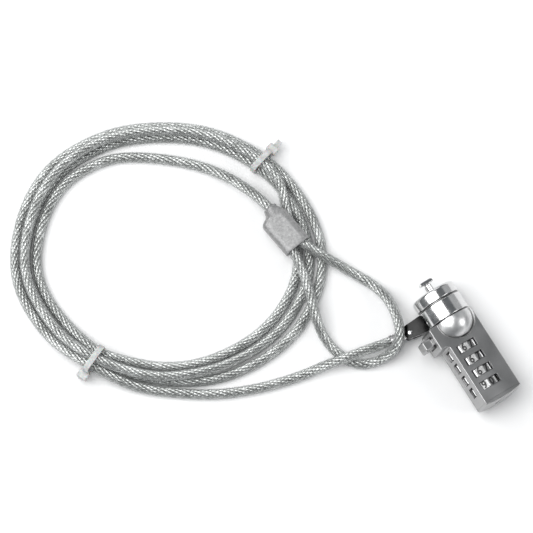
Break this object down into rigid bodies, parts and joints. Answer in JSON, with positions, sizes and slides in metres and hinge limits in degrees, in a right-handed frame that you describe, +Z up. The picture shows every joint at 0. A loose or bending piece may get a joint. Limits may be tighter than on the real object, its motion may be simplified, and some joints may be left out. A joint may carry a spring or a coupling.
{
  "type": "laptop cable lock",
  "caption": "Combination lock with a T-bar head on a swivel ring, fixed to a coiled plastic-coated steel cable that ends in a crimped loop.",
  "frame": {"origin": "on the table, under the middle of the lock measured without its cable", "axes": "+Y along the lock from its end cap towards the T-bar, +Z up from the table, the cable and its coil towards -X"},
  "size_m": [0.1565, 0.1862, 0.0195],
  "materials": {
    "satin_zinc": "satin-plated zinc casting",
    "chrome": "mirror polish",
    "dark_nickel": "polished, reflecting dark",
    "dial_metal": "fine satin",
    "digit_ink": "black paint in the digits",
    "inner_steel": "turned",
    "spring_steel": "bright drawn",
    "brass": "turned",
    "cable_steel": "stranded galvanised wire",
    "clear_jacket": "clear PVC",
    "sleeve_plastic": "moulded, fine grain",
    "nylon": "translucent natural nylon"
  },
  "bodies": {
    "cable": {"cable_terminal": "inner_steel", "cable_lead": "cable_steel", "cable_coil": "cable_steel", "cable_inner": "cable_steel", "cable_loop": "cable_steel", "crimp_sleeve": "sleeve_plastic", "crimp_ferrule": "inner_steel", "cable_tie_1": "nylon", "cable_tie_2": "nylon"},
    "swivel": {"swivel_ring": "dark_nickel", "yoke_pin": "chrome"},
    "housing": {"body_shell": "satin_zinc", "back_cover": "satin_zinc", "end_cap": "satin_zinc", "reset_screw": "dark_nickel", "detent_spring": "spring_steel", "cover_screw_1": "dark_nickel", "cover_screw_2": "dark_nickel", "cover_screw_3": "dark_nickel", "cover_screw_4": "dark_nickel", "head_ball": "chrome", "head_cap": "chrome", "swivel_washer": "spring_steel", "guide_pin_1": "chrome", "guide_pin_2": "chrome", "t_bar_spring": "spring_steel", "dial_washer_1": "brass", "dial_washer_2": "brass", "dial_washer_3": "brass"},
    "button": {"push_button": "satin_zinc"},
    "t_bar": {"t_bar": "chrome", "drive_cam": "brass"},
    "locking_shaft": {"locking_shaft": "inner_steel"},
    "dial_1": {"dial_1": "dial_metal", "dial_hub_1": "brass"},
    "dial_2": {"dial_2": "dial_metal", "dial_hub_2": "brass"},
    "dial_3": {"dial_3": "dial_metal", "dial_hub_3": "brass"},
    "dial_4": {"dial_4": "dial_metal", "dial_hub_4": "brass"}
  },
  "joints": [
    {"name": "yoke_pivot", "type": "hinge", "parent": "cable", "child": "swivel", "pos_m": [-0.01197, 0.01505, 0.0046], "axis": [0, 0, 1], "range_deg": [-45, 15]},
    {"name": "head_swivel", "type": "hinge", "parent": "swivel", "child": "housing", "pos_m": [0.00443, 0.01115, 0.00975], "axis": [0, 1, 0], "continuous": true},
    {"name": "button_push", "type": "slide", "parent": "housing", "child": "button", "axis": [0.9755, 0, -0.2198], "range_m": [0, 0.0025], "stiffness_N_per_m": 400},
    {"name": "t_bar_turn", "type": "hinge", "parent": "housing", "child": "t_bar", "pos_m": [0.00443, 0.01115, 0.00975], "axis": [0, 1, 0], "range_deg": [0, 90]},
    {"name": "shaft_release", "type": "slide", "parent": "housing", "child": "locking_shaft", "axis": [0, -1, 0], "range_m": [0, 0.001]},
    {"name": "dial_1_spin", "type": "hinge", "parent": "housing", "child": "dial_1", "pos_m": [0.0027, -0.00285, 0.0106], "axis": [0, 1, 0], "continuous": true},
    {"name": "dial_2_spin", "type": "hinge", "parent": "housing", "child": "dial_2", "pos_m": [0.0027, -0.00875, 0.0106], "axis": [0, 1, 0], "continuous": true},
    {"name": "dial_3_spin", "type": "hinge", "parent": "housing", "child": "dial_3", "pos_m": [0.0027, -0.01465, 0.0106], "axis": [0, 1, 0], "continuous": true},
    {"name": "dial_4_spin", "type": "hinge", "parent": "housing", "child": "dial_4", "pos_m": [0.0027, -0.02055, 0.0106], "axis": [0, 1, 0], "continuous": true}
  ],
  "couplings": [
    {"joint": "t_bar_turn", "follows": "button_push", "rad_per_m": 628.3},
    {"joint": "shaft_release", "follows": "button_push", "ratio": 0.4}
  ]
}
